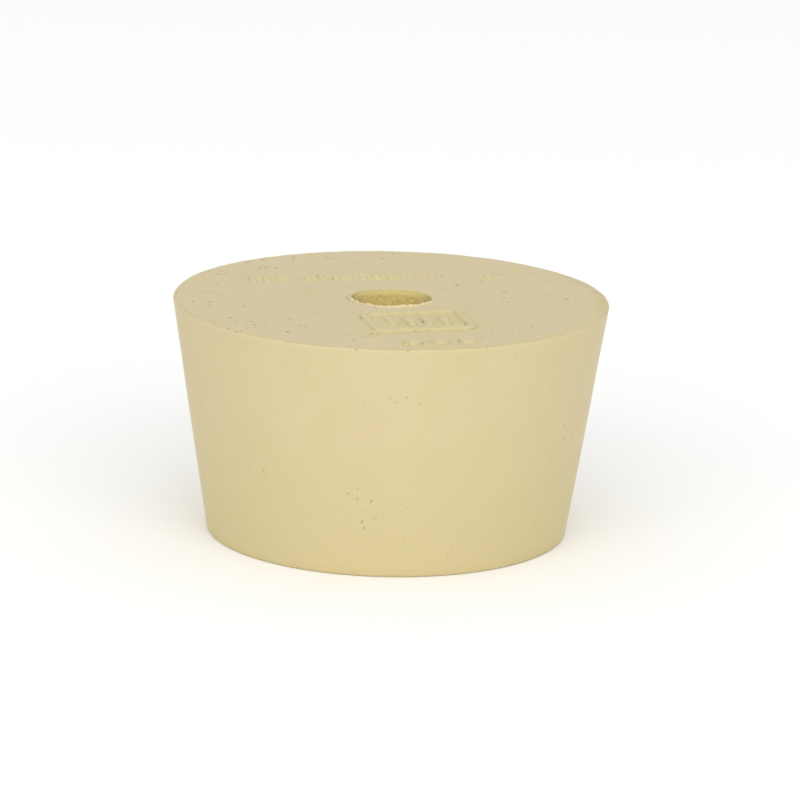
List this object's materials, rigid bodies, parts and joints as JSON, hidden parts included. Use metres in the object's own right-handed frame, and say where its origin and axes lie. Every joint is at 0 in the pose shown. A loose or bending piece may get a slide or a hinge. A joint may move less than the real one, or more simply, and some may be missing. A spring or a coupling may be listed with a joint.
{
  "type": "rubber stopper",
  "caption": "Tapered rubber stopper with a straight hole down its axis for a tube or thermometer, and low raised marks on its wide face.",
  "frame": {"origin": "centre of the narrow face, on the stopper's axis", "axes": "+Z along the axis, from the narrow face to the wide face; the row of ticks runs along X, on the +Y side of the hole"},
  "size_m": [0.046, 0.046, 0.0253],
  "materials": {
    "rubber": "matte"
  },
  "bodies": {
    "root": {"stopper": "rubber"}
  },
  "joints": []
}
